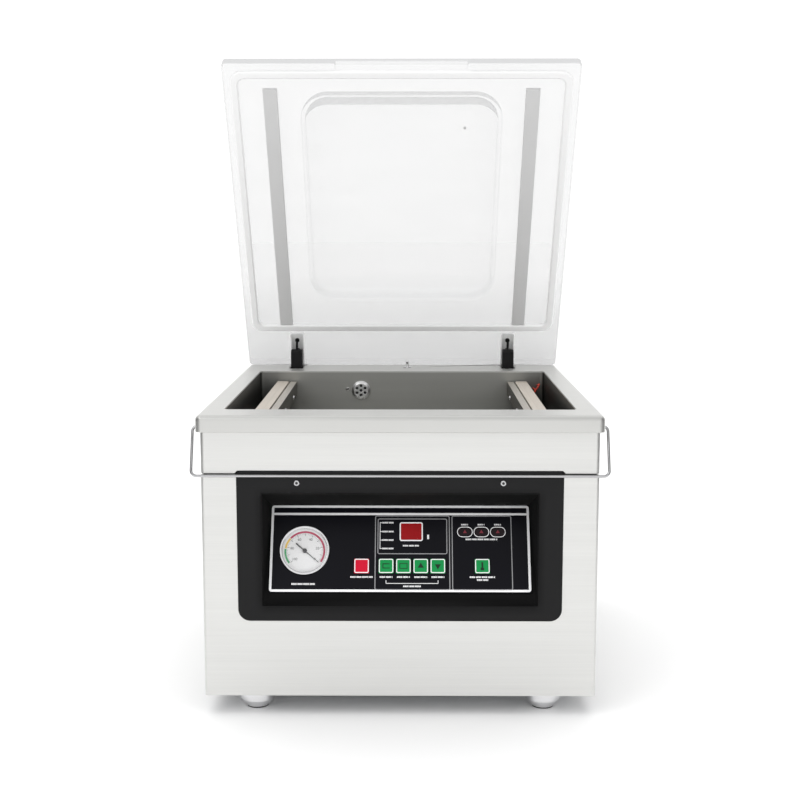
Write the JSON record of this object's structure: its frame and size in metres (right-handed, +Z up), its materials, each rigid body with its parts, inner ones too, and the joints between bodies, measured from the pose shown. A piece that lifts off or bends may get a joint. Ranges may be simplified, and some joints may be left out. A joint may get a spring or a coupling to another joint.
{
  "type": "chamber vacuum sealer",
  "caption": "Tabletop chamber vacuum sealer: steel cabinet on feet, deep chamber with sealing bars, hinged clear lid, wire bail, and a sloping black control console with a gauge.",
  "frame": {"origin": "on the floor under the middle of the object's box, lid open", "axes": "+Z up, front faces -Y, +X to the right seen from the front"},
  "size_m": [0.5168, 0.5776, 0.8405],
  "materials": {
    "brushed_sheet": "fine brushed stainless sheet",
    "deck_steel": "satin stainless with a soft brushed grain",
    "chamber_steel": "bead-dulled grey stainless",
    "plain_steel": "plain machined steel",
    "zinc_sheet": "galvanised sheet",
    "chrome": "polished",
    "bar_aluminium": "extruded, satin",
    "heater_tape": "glass cloth tape coated with PTFE",
    "clear_acrylic": "clear cast acrylic",
    "seal_rubber": "soft white silicone",
    "counter_silicone": "grey silicone strip",
    "black_rubber": "matte",
    "black_plastic": "fine-textured moulded plastic",
    "panel_film": "gloss printed film",
    "red_lens": "translucent red",
    "key_green": "gloss printed key",
    "key_red": "gloss printed key",
    "dial_white": "satin white",
    "gauge_glass": "clear",
    "needle_black": "satin black",
    "board_green": "solder mask",
    "coil_copper": "varnished windings and core",
    "ivory_plastic": "moulded",
    "valve_brass": "machined",
    "pump_cast": "cast, painted grey",
    "motor_blue": "semi-gloss",
    "hose_grey": "reinforced hose",
    "lead_red": "silicone-sleeved wire",
    "rocker_red": "moulded"
  },
  "bodies": {
    "cabinet": {"base_pan": "zinc_sheet", "cabinet_shell": "brushed_sheet", "rear_panel": "brushed_sheet", "foot_cups": "chrome", "foot_pads": "black_rubber", "upper_skirt": "brushed_sheet", "seam_strip": "black_rubber", "deck_rim": "deck_steel", "chamber_tub": "chamber_steel", "suction_cap": "chrome", "lift_cylinders": "plain_steel", "hinge_lugs": "plain_steel", "hinge_pins": "plain_steel", "torsion_springs": "plain_steel", "panel_bezel": "black_plastic", "pan_head_screws": "chrome", "control_plate": "panel_film", "indicator_lenses": "red_lens", "gauge_case": "chrome", "gauge_dial": "dial_white", "gauge_glass": "gauge_glass", "control_board": "board_green", "transformer": "coil_copper", "contactors": "ivory_plastic", "solenoid_valves": "valve_brass", "pump_housing": "pump_cast", "motor_housing": "motor_blue", "fan_cowl": "black_plastic", "pump_mounts": "black_rubber", "vacuum_hose": "hose_grey", "power_inlet": "black_plastic", "heater_leads": "lead_red", "lid_switch": "chrome", "bail_bushings": "chrome"},
    "lid": {"lid_panel": "clear_acrylic", "lid_gasket": "seal_rubber", "counter_strips": "counter_silicone", "hinge_brackets": "chrome", "hinge_blocks": "black_plastic", "bracket_bolts": "black_plastic"},
    "bail": {"wire_bail": "chrome"},
    "left_bar": {"bar_channel_left": "bar_aluminium", "heater_face_left": "heater_tape", "clamp_rail_left": "bar_aluminium", "lift_rods_left": "plain_steel"},
    "right_bar": {"bar_channel_right": "bar_aluminium", "heater_face_right": "heater_tape", "clamp_rail_right": "bar_aluminium", "lift_rods_right": "plain_steel"},
    "needle": {"gauge_needle": "needle_black"},
    "plunger": {"switch_plunger": "chrome"},
    "rocker": {"power_rocker": "rocker_red"},
    "pump_rotor": {"pump_shaft": "plain_steel", "motor_fan": "ivory_plastic"},
    "stop_key": {"stop_button": "key_red"},
    "function_key": {"function_button": "key_green"},
    "set_key": {"set_button": "key_green"},
    "increase_key": {"increase_button": "key_green"},
    "decrease_key": {"decrease_button": "key_green"},
    "temperature_key": {"temperature_button": "key_green"}
  },
  "joints": [
    {"name": "lid_hinge", "type": "hinge", "parent": "cabinet", "child": "lid", "pos_m": [0, 0.26295, 0.3785], "axis": [1, 0, 0], "range_deg": [0, 58.2], "stiffness_Nm_per_rad": 6.6, "springref_deg": -83.08},
    {"name": "bail_swing", "type": "hinge", "parent": "cabinet", "child": "bail", "pos_m": [0, -0.25885, 0.3663], "axis": [-1, 0, 0], "range_deg": [0, 200]},
    {"name": "left_bar_lift", "type": "slide", "parent": "cabinet", "child": "left_bar", "axis": [0, 0, 1], "range_m": [0, 0.015]},
    {"name": "right_bar_lift", "type": "slide", "parent": "cabinet", "child": "right_bar", "axis": [0, 0, 1], "range_m": [0, 0.015]},
    {"name": "gauge_sweep", "type": "hinge", "parent": "cabinet", "child": "needle", "pos_m": [-0.1208, -0.24368, 0.20415], "axis": [0, -0.878, 0.4787], "range_deg": [0, 260]},
    {"name": "switch_press", "type": "slide", "parent": "cabinet", "child": "plunger", "axis": [0, 0, -1], "range_m": [0, 0.0035]},
    {"name": "rocker_tilt", "type": "hinge", "parent": "cabinet", "child": "rocker", "pos_m": [-0.18, 0.26605, 0.1155], "axis": [1, 0, 0], "range_deg": [0, 18]},
    {"name": "pump_spin", "type": "hinge", "parent": "cabinet", "child": "pump_rotor", "pos_m": [0, 0.18955, 0.123], "axis": [1, 0, 0], "continuous": true},
    {"name": "stop_press", "type": "slide", "parent": "cabinet", "child": "stop_key", "axis": [0, 0.878, -0.4787], "range_m": [0, 0.0008], "stiffness_N_per_m": 600, "springref_m": -0.0006},
    {"name": "function_press", "type": "slide", "parent": "cabinet", "child": "function_key", "axis": [0, 0.878, -0.4787], "range_m": [0, 0.0008], "stiffness_N_per_m": 600, "springref_m": -0.0006},
    {"name": "set_press", "type": "slide", "parent": "cabinet", "child": "set_key", "axis": [0, 0.878, -0.4787], "range_m": [0, 0.0008], "stiffness_N_per_m": 600, "springref_m": -0.0006},
    {"name": "increase_press", "type": "slide", "parent": "cabinet", "child": "increase_key", "axis": [0, 0.878, -0.4787], "range_m": [0, 0.0008], "stiffness_N_per_m": 600, "springref_m": -0.0006},
    {"name": "decrease_press", "type": "slide", "parent": "cabinet", "child": "decrease_key", "axis": [0, 0.878, -0.4787], "range_m": [0, 0.0008], "stiffness_N_per_m": 600, "springref_m": -0.0006},
    {"name": "temperature_press", "type": "slide", "parent": "cabinet", "child": "temperature_key", "axis": [0, 0.878, -0.4787], "range_m": [0, 0.0008], "stiffness_N_per_m": 600, "springref_m": -0.0006}
  ],
  "couplings": [
    {"joint": "right_bar_lift", "follows": "left_bar_lift", "ratio": 1},
    {"joint": "switch_press", "follows": "lid_hinge", "m_per_rad": 0.00344}
  ]
}
